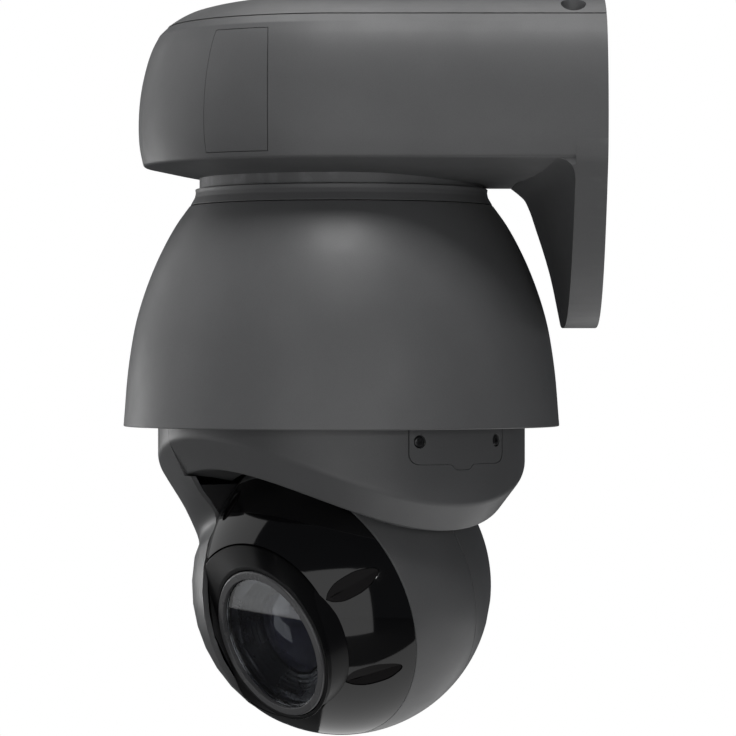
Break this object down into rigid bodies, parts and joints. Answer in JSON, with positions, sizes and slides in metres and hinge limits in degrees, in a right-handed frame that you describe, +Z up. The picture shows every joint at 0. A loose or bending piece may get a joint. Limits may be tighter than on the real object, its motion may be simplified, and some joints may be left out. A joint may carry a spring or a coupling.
{
  "type": "ptz camera",
  "caption": "Wall-mounted pan-tilt-zoom surveillance camera: round-nosed arm, flared sun shield, and a split-ball head with a black lens face on a one-sided fork.",
  "frame": {"origin": "on the wall plane, centred across the bracket, in the flat back of its steel wall plate", "axes": "+Z up, +Y into the wall, so the arm reaches out along -Y; +X is the side that shows the lens at rest"},
  "size_m": [0.212, 0.2295, 0.3572],
  "materials": {
    "body_paint": "satin powder coat",
    "dark_plastic": "matte",
    "gloss_black": "polished",
    "ir_window": "polished",
    "lens_glass": "coated",
    "lens_ring": "satin",
    "steel": "satin",
    "brass": "machined",
    "circuit_board": "solder mask",
    "rubber": "matte",
    "white_plastic": "moulded"
  },
  "bodies": {
    "base": {"bracket_body": "body_paint", "bracket_top_cover": "body_paint", "side_hatch": "body_paint", "wall_plate": "steel", "lock_screw_left": "steel", "lock_screw_right": "steel", "cable_gland": "rubber", "network_board": "circuit_board", "network_jack": "steel", "neck_ring": "body_paint", "sun_shield": "body_paint", "upper_housing": "dark_plastic", "main_board": "circuit_board", "pan_ring_gear": "white_plastic", "pan_bearing": "steel", "slip_ring_stator": "dark_plastic"},
    "yoke": {"turntable_plate": "steel", "yoke_body": "body_paint", "pan_motor": "dark_plastic", "slip_ring_rotor": "dark_plastic", "drive_board": "circuit_board", "card_door": "body_paint", "door_screw_left": "steel", "door_screw_right": "steel", "card_socket": "steel", "fork_arm": "body_paint", "fork_cover": "dark_plastic", "tilt_bearing": "steel", "tilt_motor": "dark_plastic"},
    "head": {"front_cover": "gloss_black", "middle_shell": "body_paint", "rear_shell": "body_paint", "ir_window_1": "ir_window", "ir_window_2": "ir_window", "ir_window_3": "ir_window", "ir_window_4": "ir_window", "side_plate": "dark_plastic", "tilt_shaft": "steel", "tilt_gear": "white_plastic", "lens_collar": "dark_plastic", "lens_ring": "lens_ring", "window_glass": "lens_glass", "lens_barrel": "dark_plastic", "front_lens": "lens_glass", "lens_housing": "dark_plastic", "sensor_board": "circuit_board", "image_sensor": "dark_plastic", "ir_board": "circuit_board", "vent_plug": "dark_plastic"},
    "pan_pinion_gear": {"pan_pinion": "white_plastic"},
    "tilt_pinion_gear": {"tilt_pinion": "white_plastic"},
    "zoom_carrier": {"zoom_group": "brass"},
    "focus_carrier": {"focus_group": "brass"},
    "filter_slider": {"night_filter": "lens_glass"},
    "button": {"reset_button": "white_plastic"}
  },
  "joints": [
    {"name": "pan", "type": "hinge", "parent": "base", "child": "yoke", "pos_m": [0, -0.1235, -0.1], "axis": [0, 0, 1], "continuous": true},
    {"name": "pan_pinion_spin", "type": "hinge", "parent": "yoke", "child": "pan_pinion_gear", "pos_m": [0.00449, -0.07222, -0.095], "axis": [0, 0, 1], "continuous": true},
    {"name": "tilt", "type": "hinge", "parent": "yoke", "child": "head", "pos_m": [0, -0.1235, -0.206], "axis": [0.766, 0.6428, 0], "range_deg": [-30, 70]},
    {"name": "tilt_pinion_spin", "type": "hinge", "parent": "yoke", "child": "tilt_pinion_gear", "pos_m": [-0.02758, -0.14664, -0.1733], "axis": [0.766, 0.6428, 0], "range_deg": [-306, 132]},
    {"name": "zoom", "type": "slide", "parent": "head", "child": "zoom_carrier", "axis": [0.604, -0.7198, -0.342], "range_m": [0, 0.014]},
    {"name": "focus", "type": "slide", "parent": "head", "child": "focus_carrier", "axis": [0.604, -0.7198, -0.342], "range_m": [-0.005, 0.003]},
    {"name": "filter_slide", "type": "slide", "parent": "head", "child": "filter_slider", "axis": [0.766, 0.6428, 0], "range_m": [-0.008, 0]},
    {"name": "reset_press", "type": "slide", "parent": "yoke", "child": "button", "axis": [-0.766, -0.6428, 0], "range_m": [0, 0.0015], "stiffness_N_per_m": 300}
  ],
  "couplings": [
    {"joint": "pan_pinion_spin", "follows": "pan", "ratio": 6.2},
    {"joint": "tilt_pinion_spin", "follows": "tilt", "ratio": -4.3667}
  ]
}
